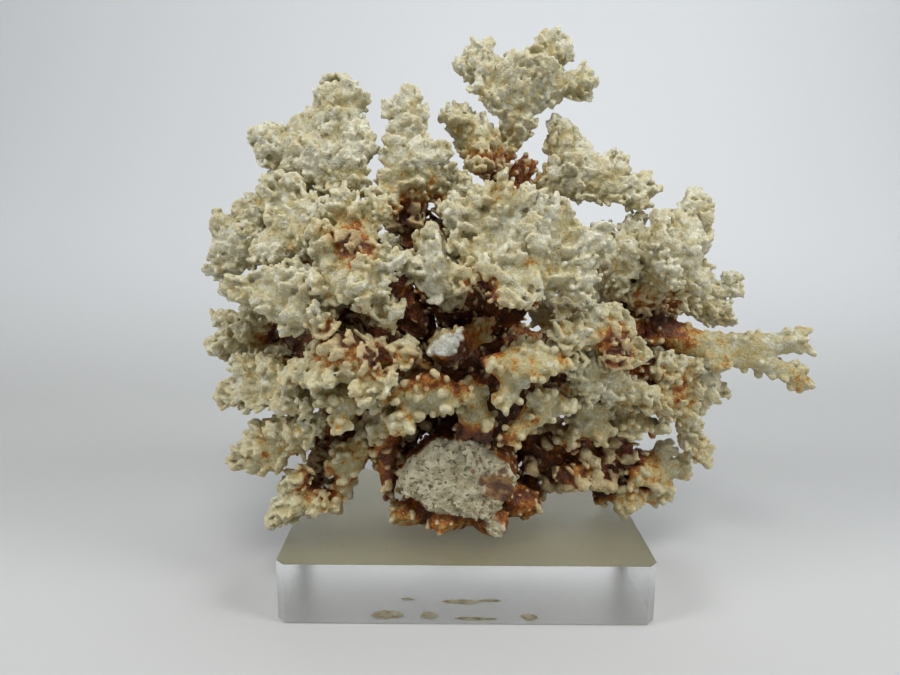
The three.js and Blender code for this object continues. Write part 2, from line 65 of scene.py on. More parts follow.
# The same for the one coarse grid over the whole colony, and how wide its crowding is blurred
COARSE = 2.4
COARSE_MARGIN = 30.0
COARSE_BAND = 24.0
CROWD_BLUR = 11.0
# How far flat spots of a mesh are simplified
ADAPTIVITY = 0.1
# Brings the smooth noise to its full range
NOISE_GAIN = 2.4

# How far above the holdfast's middle the point lies that all growth points away from
HEART_HEIGHT = 25.0
# The least distance from a frond's middle to a lobe's tip, and the bounds of a lobe's radius
LOBE_REACH = 8.0
LOBE_RADIUS = (3.0, 7.5)
# How much a frond's body is thinned at its palm, and how much more at its rim
PALM_THINNING = 0.6
MORE_AT_RIM = 2.0
# The directions of the smaller lobes at a lobe's end, and of the rays of a rosette
LOBE_RAYS = np.radians([-68, -34, 0, 34, 68])
ROSETTE_RAYS = np.radians([-85, -57, -28, 0, 28, 57, 85])
RAY_JITTER = 0.15
ROSETTE_SPACING = 8.5
# Nubs: their spacing, the room their ends need before other pieces, the highest they grow, and
# the bounds of their lengths and radii
NUB_SPACING = 8.0
NUB_CLEARANCE = 2.0
NUB_TOP = 78.0
NUB_LENGTH = (4.0, 9.5)
NUB_RADIUS = (1.7, 2.5)
# How far in front of a spot no other piece may lie if a knob is to grow there
KNOB_CLEARANCE = 2.0
# A spot is at a rim where little of what lies round it is solid: how wide the solid is blurred
# to tell, and the shares of solid at a sharp rim and on a face
RIM_BLUR = 2.6
RIM_SHARE = 0.26
FACE_SHARE = 0.44
# How much smaller knobs are where the skeleton is old and brown
OLD_KNOBS_SHRINK = 0.25

# The knobs of each kind of piece: how far apart they stand, the share of them that is kept
# on the faces, away from the rims, and their radius and length
Knobs = namedtuple("Knobs", "spacing on_face size rise")
FRONT_KNOBS = Knobs(2.7, 0.6, 1.05, 2.0)
BACK_KNOBS = Knobs(3.6, 0.6, 1.5, 2.0)
CLAW_KNOBS = Knobs(4.8, 0.2, 1.65, 1.6)
STUB_KNOBS = Knobs(3.6, 0.5, 1.2, 0.9)
LIMB_KNOBS = Knobs(3.5, 0.85, 1.25, 1.6)
HOLDFAST_KNOBS = Knobs(5.0, 0.6, 1.3, 1.3)

# The stump's broken face, the middle of its rusty patch and that patch's radius
STUMP_FACE_Y = -33.5
STUMP_RUST = np.array([12.0, STUMP_FACE_Y, 51.0])
STUMP_RUST_RADIUS = 8.0
# The broken branch: how far behind its solid's front it ends, and its rusty patch's radius
STUB_BREAK = 2.5
STUB_RUST_RADIUS = 3.5
# How far behind a broken face its colour ends, and how far behind it is still full
FACE_COLOUR_ENDS = 2.8
FACE_COLOUR_FULL = 1.8

# How brown the skeleton is: what the holdfast and the limbs have everywhere, what crowding adds
HOLDFAST_STAIN = 0.34
LIMB_STAIN = 0.46
CROWD_STAIN = 0.7
# A frond's stain where it leaves its limb, how far that reaches, and what crowding adds to it;
# reach and crowding count for more low down, from the first height to the second
FORK_STAIN = 0.85
FORK_REACH = 6.0
MORE_REACH_LOW = 4.0
FROND_CROWD_STAIN = 0.5
MORE_CROWD_STAIN_LOW = 0.4
LOW_HEIGHTS = (105, 70)
# The share of its stain that a frond loses at its tip, what it gains low down and what it loses
# high up, each from the first height to the second
TIP_LOSS = 0.75
LOW_GAIN = 0.09
LOW_GAIN_HEIGHTS = (135, 95)
HIGH_LOSS = 0.25
HIGH_LOSS_HEIGHTS = (120, 175)
# A brown patch's stain in its middle
PATCH_STAIN = 1.15


# ---------------------------------------------------------------- fields on a grid

class Room:
    """A block of space round one piece, sampled on a regular grid."""

    def __init__(self, low, high, step):
        self.step = step
        self.first = np.floor((np.asarray(low) - MARGIN) / step).astype(int)
        last = np.ceil((np.asarray(high) + MARGIN) / step).astype(int)
        self.shape = tuple(last - self.first + 1)
        self.axes = [(self.first[k] + np.arange(self.shape[k])) * step for k in range(3)]

    def window(self, low, high):
        """The slices of the grid that lie between two corners."""
        start = np.clip(np.floor(low / self.step).astype(int) - self.first, 0, self.shape)
        stop = np.clip(np.ceil(high / self.step).astype(int) - self.first + 1, 0, self.shape)
        return tuple(slice(a, b) for a, b in zip(start, stop))

    def sample(self, field, points):
        """The field's value at each point, between the grid's samples."""
        at = points / self.step - self.first
        cell = np.clip(np.floor(at).astype(int), 0, np.array(self.shape) - 2)
        t = np.clip(at - cell, 0, 1)
        total = 0
        for corner in np.ndindex(2, 2, 2):
            weight = np.prod(np.where(corner, t, 1 - t), axis=1)
            total = total + weight * field[tuple((cell + corner).T)]
        return total


def distance_field(points, triangles, room, band=BAND):
    """The signed distance to a closed mesh, negative inside it and at most the band."""
    transform = vdb.createLinearTransform(voxelSize=room.step)
    grid = vdb.FloatGrid.createLevelSetFromPolygons(
        points, triangles=triangles, transform=transform, halfWidth=band / room.step)
    field = np.full(room.shape, band, np.float32)
    grid.copyToArray(field, ijk=tuple(int(i) for i in room.first))
    return field


def along_each_axis(field, matrices):
    """The field with one matrix applied along each of its axes."""
    for axis, matrix in enumerate(matrices):
        field = np.moveaxis(np.tensordot(matrix, field, axes=(1, axis)), 0, axis)
    return field.astype(np.float32)


def blurred(field, sigma, step):
    """The field after a Gaussian blur, whose edges hold their values."""
    reach = int(3 * sigma / step) + 1
    offsets = np.arange(-reach, reach + 1)
    weights = np.exp(-0.5 * (offsets * step / sigma) ** 2)
    weights /= weights.sum()
    matrices = []
    for size in field.shape:
        matrix = np.zeros((size, size), np.float32)
        rows = np.arange(size)
        for offset, weight in zip(offsets, weights):
            np.add.at(matrix, (rows, np.clip(rows + offset, 0, size - 1)), weight)
        matrices.append(matrix)
    return along_each_axis(field, matrices)


def noise(room, size, seed):
    """Smooth noise from -1 to 1, whose bumps are about `size` across."""
    rng = np.random.default_rng(seed)
    matrices = []
    counts = []
    for axis in room.axes:
        at = (axis - axis[0]) / size + 1
        count = int(at[-1]) + 3
        cell = np.floor(at).astype(int)
        t = at - cell
        matrix = np.zeros((len(axis), count), np.float32)
        rows = np.arange(len(axis))
        matrix[rows, cell - 1] = (1 - t) ** 3 / 6
        matrix[rows, cell] = (3 * t ** 3 - 6 * t ** 2 + 4) / 6
        matrix[rows, cell + 1] = (-3 * t ** 3 + 3 * t ** 2 + 3 * t + 1) / 6
        matrix[rows, cell + 2] = t ** 3 / 6
        matrices.append(matrix)
        counts.append(count)
    lattice = rng.uniform(-1, 1, counts)
    return np.clip(NOISE_GAIN * along_each_axis(lattice, matrices), -1, 1)


def smooth_step(low, high, value):
    """From 0 at `low` to 1 at `high`, level at both ends."""
    t = np.clip((value - low) / (high - low), 0, 1)
    return t * t * (3 - 2 * t)


def smooth_union(a, b, soft):
    """What lies inside either field, with a rounded groove where they meet."""
    h = np.maximum(soft - np.abs(a - b), 0) / soft
    return np.minimum(a, b) - h * h * soft / 4


def smooth_cut(a, b, soft):
    """What lies inside both fields, with a rounded edge where they cross."""
    return -smooth_union(-a, -b, soft)


def unit(vectors):
    """The vectors at length 1."""
    length = np.linalg.norm(vectors, axis=-1, keepdims=True)
    return vectors / np.maximum(length, 1e-6)


def add_finger(field, room, root, tip, root_radius, tip_radius, soft):
    """Joins a round-ended, tapered finger to the field."""
    reach = max(root_radius, tip_radius) + 2 * soft + room.step
    part = room.window(np.minimum(root, tip) - reach, np.maximum(root, tip) + reach)
    x, y, z = (room.axes[k][part[k]] for k in range(3))
    if min(len(x), len(y), len(z)) == 0:
        return
    axis = tip - root
    dx = x[:, None, None] - root[0]
    dy = y[None, :, None] - root[1]
    dz = z[None, None, :] - root[2]
    t = np.clip((dx * axis[0] + dy * axis[1] + dz * axis[2]) / max(axis @ axis, 1e-9), 0, 1)
    away = np.sqrt((dx - t * axis[0]) ** 2 + (dy - t * axis[1]) ** 2 + (dz - t * axis[2]) ** 2)
    finger = away - (root_radius + (tip_radius - root_radius) * t)
    field[part] = smooth_union(field[part], finger.astype(np.float32), soft)


def slope(field, room, points):
    """The field's gradient at each point, of length 1."""
    ways = []
    for k in range(3):
        shift = np.zeros(3)
        shift[k] = room.step
        ways.append(room.sample(field, points + shift) - room.sample(field, points - shift))
    return unit(np.stack(ways, 1))


def scattered(field, room, spacing, rng):
    """Points on the field's surface, about one in each cube of that spacing."""
    cells = np.argwhere(np.abs(field) < 0.6 * room.step)
    if len(cells) == 0:
        return np.zeros((0, 3))
    points = (cells + room.first + rng.uniform(-0.4, 0.4, cells.shape)) * room.step
    cube = np.floor((points + rng.uniform(0, spacing, 3)) / spacing).astype(int)
    order = rng.permutation(len(points))
    _, chosen = np.unique(cube[order], axis=0, return_index=True)
    return points[order[chosen]]


def polygonised(field, room):
    """The mesh of the field's surface, in millimetres: points, triangles, quads."""
    grid = vdb.FloatGrid(BAND)
    grid.transform = vdb.createLinearTransform(voxelSize=room.step)
    samples = np.ascontiguousarray(field, np.float32)
    grid.copyFromArray(samples, ijk=tuple(int(i) for i in room.first))
    return grid.convertToPolygons(isovalue=0.0, adaptivity=ADAPTIVITY)


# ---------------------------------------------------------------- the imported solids

def cad_solid(node):
    """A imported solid's corners in millimetres, with doubles merged, and its triangles."""
    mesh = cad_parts[node].data
    co = np.empty(len(mesh.vertices) * 3)
    mesh.vertices.foreach_get("co", co)
    mesh.calc_loop_triangles()
    tri = np.empty(len(mesh.loop_triangles) * 3, np.int32)
    mesh.loop_triangles.foreach_get("vertices", tri)
    points, where = np.unique(np.round(co.reshape(-1, 3) / MM, 3), axis=0, return_inverse=True)
    tri = where.reshape(-1)[tri].reshape(-1, 3)
    real = (tri[:, 0] != tri[:, 1]) & (tri[:, 1] != tri[:, 2]) & (tri[:, 2] != tri[:, 0])
    return points.astype(np.float32), tri[real].astype(np.uint32)


def middle_of(points, triangles):
    """The solid's centre of volume."""
    a, b, c = (points[triangles[:, k]] for k in range(3))
    volume = np.einsum("ij,ij->i", a, np.cross(b, c))
    return ((a + b + c) * volume[:, None]).sum(0) / (4 * volume.sum())


def lobe_tips(points, triangles, middle):
    """The corners that stand out farther than all their neighbours, with each lobe's radius."""
    away = points - middle
    far = np.linalg.norm(away, axis=1)
    neighbours = [set() for _ in points]
    for a, b, c in triangles:
        neighbours[a].update((b, c))
        neighbours[b].update((a, c))
        neighbours[c].update((a, b))
    tips = []
    for i, near in enumerate(neighbours):
        near = list(near)
        if not near or far[i] < LOBE_REACH or far[i] < far[near].max():
            continue
        aim = away[i] / far[i]
        aside = np.linalg.norm(away[near] - np.outer(away[near] @ aim, aim), axis=1)
        tips.append((points[i], aim, float(np.clip(0.8 * np.median(aside), *LOBE_RADIUS))))
    return tips


SOLIDS = {name: cad_solid(name) for name in sorted(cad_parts) if name != BLOCK}
LIMBS = sorted(name for name in SOLIDS if name.endswith("_limb"))
TRUNK = LIMBS + ["holdfast"]

HEART = middle_of(*SOLIDS["holdfast"]) + HEART_HEIGHT * UP
colony_low = np.min([points.min(0) for points, _ in SOLIDS.values()], axis=0)
colony_high = np.max([points.max(0) for points, _ in SOLIDS.values()], axis=0)
COLONY = Room(colony_low - COARSE_MARGIN, colony_high + COARSE_MARGIN, COARSE)
coarse_fields = {name: distance_field(*solid, COLONY, COARSE_BAND) for name, solid in SOLIDS.items()}
crowding = blurred(np.min(list(coarse_fields.values()), axis=0) < 0, CROWD_BLUR, COARSE)
trunk_distance = np.min([coarse_fields[name] for name in TRUNK], axis=0)


def others_distance(name):
    """The distance to the nearest solid but this one, over the whole colony."""
    return np.min([field for other, field in coarse_fields.items() if other != name], axis=0)


# ---------------------------------------------------------------- growing a piece

# Fronds whose lobes are bare, blunt claws
CLAWS = {
    "centre_claws", "centre_left_claws", "centre_right_claws", "centre_low_claws",
    "hanging_lobes", "left_low_fork", "low_centre_curl", "lower_right_knobs",
    "lower_right_foot", "right_cavity_frond", "right_under_frond", "long_right_branch",
}


def blade_way(tips, middle):
    """The direction across the blade: the one in which its lobes spread least."""
    spread = np.array([tip - middle for tip, _, _ in tips])
    return np.linalg.svd(spread - spread.mean(0))[2][2]


def rim_thinning(room, middle, tips):
    """How much the blade is thinned between its lobes: little at its palm, most at its rim."""
    x, y, z = (room.axes[k] - middle[k] for k in range(3))
    out = np.sqrt(x[:, None, None] ** 2 + y[None, :, None] ** 2 + z[None, None, :] ** 2)
    reach = np.mean([np.linalg.norm(tip - middle) for tip, _, _ in tips])
    return PALM_THINNING + MORE_AT_RIM * smooth_step(0.4 * reach, 0.9 * reach, out)


def turned(rays, rng):
    """The rays' angles, each a little off."""
    return rays + rng.uniform(-RAY_JITTER, RAY_JITTER, len(rays))


def lobed(room, solid, middle, tips, blade, thinning, rng):
    """A thin heart with a finger out to each lobe, whose end splits into smaller lobes."""
    body = blurred(solid, 1.2, room.step) + thinning
    for tip, aim, radius in tips:
        knuckle = tip - 1.5 * radius * aim
        root = middle + 0.3 * (knuckle - middle)
        add_finger(body, room, root, knuckle, 0.8 * radius, 0.85 * radius, 2.5)
        side = unit(np.cross(blade, aim))
        small = np.clip(0.42 * radius, 1.9, 3.0)
        for angle in turned(LOBE_RAYS, rng):
            way = unit(math.cos(angle) * aim + math.sin(angle) * side + rng.uniform(-0.3, 0.3) * blade)
            end = knuckle + rng.uniform(1.2, 1.75) * radius * way
            add_finger(body, room, knuckle, end - small * way, small, small, 1.2)
        for across in (-blade, blade):
            way = unit(0.7 * aim + 0.7 * across + rng.normal(0, 0.2, 3))
            end = knuckle + rng.uniform(0.85, 1.1) * radius * way
            add_finger(body, room, knuckle, end - small * way, small, small, 1.2)
    return smooth_cut(body, solid - 2.2, 1.0)


def along_surface(ways, normals):
    """Each direction's part that runs along the surface, at length 1."""
    return unit(ways - np.sum(ways * normals, axis=1, keepdims=True) * normals)


def add_rosettes(skin, body, room, rng):
    """Flaps that stand out from the face, each a fan of small rounded lobes."""
    spots = scattered(body, room, ROSETTE_SPACING, rng)
    normals = slope(body, room, spots)
    along = along_surface(unit(spots - HEART), normals)
    for spot, normal, line in zip(spots, normals, along):
        way = unit(line + rng.uniform(0.3, 0.8) * normal)
        side = unit(np.cross(way, normal) + rng.uniform(-0.5, 0.5) * normal)
        palm = spot + rng.uniform(0.6, 1.8) * way
        add_finger(skin, room, spot - normal, palm, 1.2, 1.3, 1.0)
        for angle in turned(ROSETTE_RAYS, rng):
            ray = math.cos(angle) * way + math.sin(angle) * side
            tip = palm + rng.uniform(2.2, 3.8) * ray
            add_finger(skin, room, palm, tip, 0.9, rng.uniform(0.8, 1.05), 0.4)


def add_nubs(name, skin, body, room, middle, rng):
    """Short stubby branchlets with rounded, forked heads, where nothing else grows."""
    spots = scattered(body, room, NUB_SPACING, rng)
    normals = slope(body, room, spots)
    ways = unit(normals + 0.5 * unit(spots - middle) + rng.normal(0, 0.3, spots.shape))
    lengths = rng.uniform(*NUB_LENGTH, len(spots))
    ends = spots + lengths[:, None] * ways
    free = (COLONY.sample(others_distance(name), ends) > NUB_CLEARANCE) & (spots[:, 2] < NUB_TOP)
    for spot, way, end in zip(spots[free], ways[free], ends[free]):
        radius = rng.uniform(*NUB_RADIUS)
        add_finger(body, room, spot - way, end - 3.2 * way, 0.9 * radius, radius - 0.7, 1.2)
        add_finger(skin, room, spot - way, end - radius * way, 0.9 * radius, radius, 1.2)
        for _ in range(rng.integers(1, 4)):
            aside = unit(way + rng.normal(0, 0.7, 3))
            fork = end - 1.6 * radius * way
            head = fork + rng.uniform(1.8, 3.2) * aside
            add_finger(skin, room, fork, head, 0.7 * radius, 0.75 * radius, 0.8)


def add_knobs(name, skin, body, room, middle, knobs, rng):
    """Ridges that run outward over the surface and end in short rounded knobs."""
    spots = scattered(body, room, knobs.spacing, rng)
    normals = slope(body, room, spots)
    solid_share = blurred(body < 0, RIM_BLUR, room.step)
    edge = 1 - smooth_step(RIM_SHARE, FACE_SHARE, room.sample(solid_share, spots))
    keep = rng.uniform(0, 1, len(spots)) < knobs.on_face + (1 - knobs.on_face) * edge
    keep &= COLONY.sample(others_distance(name), spots + KNOB_CLEARANCE * normals) > 0
    spots, normals, edge = spots[keep], normals[keep], edge[keep]
    along = along_surface(unit(0.35 * unit(spots - middle) + unit(spots - HEART)), normals)
    ways = unit((1.0 - 0.6 * edge)[:, None] * along + (0.55 + 0.45 * edge)[:, None] * normals
                + 0.15 * UP + rng.normal(0, 0.18, spots.shape))
    shrink = 1 - OLD_KNOBS_SHRINK * smooth_step(0.3, 0.7, stain_at(name, spots))
    for spot, normal, line, way, sharp, small in zip(spots, normals, along, ways, edge, shrink):
        length = knobs.rise * (0.5 + 0.5 * sharp) * rng.uniform(0.6, 1.3)
        radius = knobs.size * small * rng.uniform(0.82, 1.18)
        root = spot - 0.8 * radius * normal - rng.uniform(0.8, 2.4) * line
        tip = spot - 0.25 * radius * normal + length * way
        add_finger(skin, room, root, tip, 0.75 * radius, radius, 0.35)


def stub_face():
    """Where the broken branch ends: a little behind the front of its solid."""
    return SOLIDS["broken_stub"][0][:, 1].min() + STUB_BREAK


def roughen(body, room, height, size, rng):
    """Raises and sinks the surface by up to that height, in bumps about that size."""
    body += height * noise(room, size, rng.integers(SEED_RANGE))


def grow_frond(name, room, points, triangles, rng):
    """A frond: lobes fanned out on a blade, ridged all over and crowded with knobs at the rims."""
    middle = middle_of(points, triangles)
    solid = distance_field(points, triangles, room)
    tips = lobe_tips(points, triangles, middle)
    thinning = rim_thinning(room, middle, tips)
    body = lobed(room, solid, middle, tips, blade_way(tips, middle), thinning, rng)
    roughen(body, room, 0.7, 5.0, rng)
    skin = body.copy()
    if name in CLAWS:
        add_knobs(name, skin, body, room, middle, CLAW_KNOBS, rng)
        return body, skin
    if name == "broken_stub":
        add_knobs(name, skin, body, room, middle, STUB_KNOBS, rng)
        return body, smooth_cut(skin, stub_face() - room.axes[1][None, :, None], 0.5)
    add_rosettes(skin, body, room, rng)
    knobs = BACK_KNOBS if name.startswith("back") else FRONT_KNOBS
    add_knobs(name, skin, body, room, middle, knobs, rng)
    return body, skin


def grow_limb(name, room, points, triangles, rng):
    """A limb: a lumpy stem with papillae and stubby branchlets."""
    middle = middle_of(points, triangles)
    body = blurred(distance_field(points, triangles, room), 1.6, room.step) + 0.3
    roughen(body, room, 1.0, 9.0, rng)
    roughen(body, room, 0.4, 3.5, rng)
    skin = body.copy()
    add_nubs(name, skin, body, room, middle, rng)
    add_knobs(name, skin, body, room, middle, LIMB_KNOBS, rng)
    return body, skin


def grow_holdfast(name, room, points, triangles, rng):
    """The crusty foot, with the stump broken off flat and porous towards the front."""
    middle = middle_of(points, triangles)
    body = blurred(distance_field(points, triangles, room), 1.2, room.step) + 0.3
    roughen(body, room, 2.4, 13.0, rng)
    roughen(body, room, 1.3, 4.0, rng)
    skin = body.copy()
    add_knobs(name, skin, body, room, middle, HOLDFAST_KNOBS, rng)
    face = STUMP_FACE_Y - room.axes[1][None, :, None] + 0.35 * noise(room, 6.0, rng.integers(SEED_RANGE))
    pores = 1.7 * smooth_step(0.25, 0.60, noise(room, 2.2, rng.integers(SEED_RANGE)))
    return body, smooth_cut(skin, face + pores, 0.3)


# Old, brown skeleton that shows on the fronds: the piece, how far across and up its front, radius
PATCHES = [
    ("left_mid_frond", 0.50, 0.70, 7.0),
    ("left_under_frond", 0.50, 0.80, 8.0),
    ("left_under_frond", 0.72, 0.60, 6.0),
    ("centre_frond", 0.22, 0.14, 7.0),
    ("centre_frond", 0.40, 0.04, 6.0),
    ("long_right_branch", 0.06, 0.80, 10.0),
    ("right_centre_frond", 0.70, 0.20, 7.0),
    ("left_lowest_frond", 0.80, 0.75, 8.0),
    ("centre_left_claws", 0.55, 0.95, 7.0),
    ("top_middle_frond", 0.50, 0.05, 9.0),
    ("crown_shoulder", 0.75, 0.05, 9.0),
    ("broken_stub", 0.60, 0.30, 11.0),
    ("crown_frond", 0.35, 0.0, 9.0),
]


def patch_spots():
    """Each brown patch's middle, on the front of its piece, and its radius."""
    spots = []
    for node, across, up, radius in PATCHES:
        low, high = SOLIDS[node][0].min(0), SOLIDS[node][0].max(0)
        x = low[0] + across * (high[0] - low[0])
        z = low[2] + up * (high[2] - low[2])
        spots.append((np.array([x, low[1] + radius, z]), radius))
    return spots


def frond_stain(name, points, crowd):
    """A frond's stain without its patches: strong at its limb and low down, little at its tips."""
    away = np.maximum(COLONY.sample(trunk_distance, points), 0)
    farthest = np.percentile(COLONY.sample(trunk_distance, SOLIDS[name][0].astype(float)), 90)
    tip = smooth_step(0.4, 0.9, away / max(farthest, 4.0))
    height = points[:, 2]
    low = smooth_step(*LOW_HEIGHTS, height)
    stain = FORK_STAIN * np.exp(-away / (FORK_REACH + MORE_REACH_LOW * low))
    stain += (FROND_CROWD_STAIN + MORE_CROWD_STAIN_LOW * low) * crowd
    stain *= 1 - TIP_LOSS * tip
    gain = LOW_GAIN * smooth_step(*LOW_GAIN_HEIGHTS, height)
    return stain + (gain - HIGH_LOSS * smooth_step(*HIGH_LOSS_HEIGHTS, height))


def stain_at(name, points):
    """How brown the skeleton is: near the limbs, low down and deep in the colony most of all."""
    crowd = COLONY.sample(crowding, points)
    if name in TRUNK:
        return (HOLDFAST_STAIN if name == "holdfast" else LIMB_STAIN) + CROWD_STAIN * crowd
    stain = frond_stain(name, points, crowd)
    for spot, radius in patch_spots():
        away = np.linalg.norm(points - spot, axis=1) / (1.2 * radius)
        stain = np.maximum(stain, PATCH_STAIN * np.exp(-away ** 1.5))
    return stain


def stump_break():
    """The stump's broken face: where it lies, its rusty patch and that patch's radius."""
    return STUMP_FACE_Y, STUMP_RUST, STUMP_RUST_RADIUS


def stub_break():
    """The same for the broken branch, which is rusty down its right edge."""
    points = SOLIDS["broken_stub"][0]
    middle = (points.min(0) + points.max(0)) / 2
    rust = np.array([points[:, 0].max() - 1.0, stub_face(), middle[2] - 2.0])
    return stub_face(), rust, STUB_RUST_RADIUS


# The pieces with a broken face, and what tells where it lies
BROKEN = {"holdfast": stump_break, "broken_stub": stub_break}


def write_mesh(name, room, body, skin, material):
    """The skin as a Blender mesh that carries how stained and how raised each spot is."""
    points, triangles, quads = polygonised(skin, room)
    faces = [tuple(f) for f in triangles] + [tuple(f) for f in quads]
    mesh = bpy.data.meshes.new(name + "_skin")
    mesh.from_pydata((points * MM).tolist(), [], faces)
    mesh.polygons.foreach_set("use_smooth", np.ones(len(mesh.polygons), bool))
    marks = {"raised": room.sample(body, points), "stain": stain_at(name, points)}
    if name in BROKEN:
        face_y, rust, radius = BROKEN[name]()
        marks["broken"] = smooth_step(FACE_COLOUR_ENDS, FACE_COLOUR_FULL, points[:, 1] - face_y)
        marks["rust"] = np.exp(-(np.linalg.norm(points - rust, axis=1) / radius) ** 2)
    for label, values in marks.items():
        attribute = mesh.attributes.new(label, "FLOAT", "POINT")
        attribute.data.foreach_set("value", values.astype(np.float32))
    mesh.materials.append(material)
    piece = bpy.data.objects.new(name + "_skin", mesh)
    bpy.context.scene.collection.objects.link(piece)
    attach(piece, "root")
    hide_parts(name)
    return piece


# ---------------------------------------------------------------- materials

def new_material(name):
    """A material, its nodes and links, and its shader."""
    material = bpy.data.materials.new(name)
    material.use_nodes = True
    nodes, links = material.node_tree.nodes, material.node_tree.links
    return material, nodes, links, nodes["Principled BSDF"]


def ramp(nodes, stops):
    """A colour ramp through the stops, each a place from 0 to 1 and a colour."""
    node = nodes.new("ShaderNodeValToRGB")
    band = node.color_ramp
    while len(band.elements) < len(stops):
        band.elements.new(0.5)
    for element, (place, colour) in zip(band.elements, stops):
        element.position = place
        element.color = (*colour, 1)
    return node


def attribute(nodes, name):
    """A value that the mesh carries at each of its points."""
    node = nodes.new("ShaderNodeAttribute")
    node.attribute_name = name
    return node.outputs["Fac"]


def spread(nodes, links, value, low, high):
    """The value from 0 at `low` to 1 at `high`."""
    node = nodes.new("ShaderNodeMapRange")
    node.interpolation_type = "SMOOTHSTEP"
    node.inputs["From Min"].default_value = low
    node.inputs["From Max"].default_value = high
    links.new(value, node.inputs["Value"])
    return node.outputs["Result"]


def blotches(nodes, links, place, scale, detail=2.0):
    """Smooth noise, with that many blotches to the metre."""
    node = nodes.new("ShaderNodeTexNoise")
    node.inputs["Scale"].default_value = scale
    node.inputs["Detail"].default_value = detail
    links.new(place, node.inputs["Vector"])
    return node.outputs["Fac"]


def cells(nodes, links, place, scale):
    """The distance to the middle of a round cell, with that many cells to the metre."""
    node = nodes.new("ShaderNodeTexVoronoi")
    node.inputs["Scale"].default_value = scale
    links.new(place, node.inputs["Vector"])
    return node.outputs["Distance"]


def plus(nodes, links, value, factor, other):
    """value * factor + other"""
    node = nodes.new("ShaderNodeMath")
    node.operation = "MULTIPLY_ADD"
    node.inputs[1].default_value = factor
    links.new(value, node.inputs[0])
    if isinstance(other, float):
        node.inputs[2].default_value = other
    else:
        links.new(other, node.inputs[2])
    return node.outputs[0]


def times(nodes, links, one, other):
    """one * other"""
    node = nodes.new("ShaderNodeMath")
    node.operation = "MULTIPLY"
    links.new(one, node.inputs[0])
    links.new(other, node.inputs[1])
    return node.outputs[0]


def blend(nodes, links, factor, under, over, mode="MIX"):
    """One colour laid over another; a colour is a socket or three numbers."""
    node = nodes.new("ShaderNodeMix")
    node.data_type = "RGBA"
    node.blend_type = mode
    links.new(factor, node.inputs["Factor"])
    for socket, colour in ((node.inputs[6], under), (node.inputs[7], over)):
        if isinstance(colour, tuple):
            socket.default_value = (*colour, 1)
        else:
            links.new(colour, socket)
    return node.outputs[2]


def broken_face(nodes, links, place, pale, dark, deep):
    """Fibrous broken skeleton, full of dark pores and rusty on one side."""
    fibres = spread(nodes, links, blotches(nodes, links, place, 260, 4.0), 0.40, 0.60)
    holes = spread(nodes, links, blotches(nodes, links, place, 620, 1.0), 0.57, 0.66)
    pored = blend(nodes, links, holes, blend(nodes, links, fibres, pale, dark), deep)
    rusty = plus(nodes, links, attribute(nodes, "rust"), 0.45, blotches(nodes, links, place, 150, 3.0))
    rust = blend(nodes, links, fibres, (0.27, 0.15, 0.06), (0.11, 0.055, 0.03))
    return blend(nodes, links, spread(nodes, links, rusty, 0.66, 0.76), pored, rust)


def ragged_stain(nodes, links, place):
    """How stained a spot is, with an edge that runs in flames between the knobs."""
    stain = attribute(nodes, "stain")
    broad = plus(nodes, links, blotches(nodes, links, place, 80), 0.9, stain)
    ragged = plus(nodes, links, blotches(nodes, links, place, 300, 3.0), 1.1, broad)
    grainy = plus(nodes, links, blotches(nodes, links, place, 1300), 0.5, ragged)
    return plus(nodes, links, grainy, 1.0, -1.13)


def skeleton_colour(nodes, links, stained, grain):
    """Pale cream that turns ochre, orange, rust and dark brown, sugared with lighter grains."""
    brown = ramp(nodes, [
        (0.0, (0.61, 0.60, 0.47)),
        (0.14, (0.50, 0.46, 0.28)),
        (0.36, (0.50, 0.42, 0.205)),
        (0.46, (0.48, 0.31, 0.09)),
        (0.53, (0.46, 0.19, 0.022)),
        (0.63, (0.34, 0.105, 0.012)),
        (0.76, (0.17, 0.048, 0.011)),
        (1.0, (0.065, 0.020, 0.008)),
    ])
    links.new(stained, brown.inputs["Fac"])
    in_brown = spread(nodes, links, stained, 0.46, 0.60)
    sugared = times(nodes, links, spread(nodes, links, grain, 0.42, 0.15), in_brown)
    half_sugared = plus(nodes, links, sugared, 0.5, 0.0)
    return blend(nodes, links, half_sugared, brown.outputs["Color"], (0.38, 0.15, 0.035))


def pale_knob_and_painted_highlight_colour(nodes, links, stained):
    """The colour of the knobs, which stay paler than the skeleton round them: partly their own cleaner
    cream, partly a painted highlight on their tops against painted shade in the hollows between them.
    """
    pale = ramp(nodes, [
        (0.0, (0.72, 0.71, 0.58)),
        (0.14, (0.62, 0.585, 0.40)),
        (0.40, (0.60, 0.53, 0.32)),
        (0.70, (0.60, 0.49, 0.28)),
        (1.0, (0.48, 0.36, 0.19)),
    ])
    links.new(stained, pale.inputs["Fac"])
    return pale.outputs["Color"]


def with_painted_pore_and_crease_shade(nodes, links, coloured, grain, scallop):
    """The colour with painted shade: darker in the pores and in the creases between the scallops, where
    shade falls.
    """
    # painted shade in the pores: a tan multiplied in where the fine cells are deepest
    pores = plus(nodes, links, spread(nodes, links, grain, 0.34, 0.12), 0.4, 0.0)
    pored = blend(nodes, links, pores, coloured, (0.68, 0.63, 0.48), "MULTIPLY")
    # painted shade in the creases between the scallops
    painted_crease_shade = plus(nodes, links, spread(nodes, links, scallop, 0.42, 0.72), 0.3, 0.0)
    return blend(nodes, links, painted_crease_shade, pored, (0.60, 0.55, 0.38), "MULTIPLY")


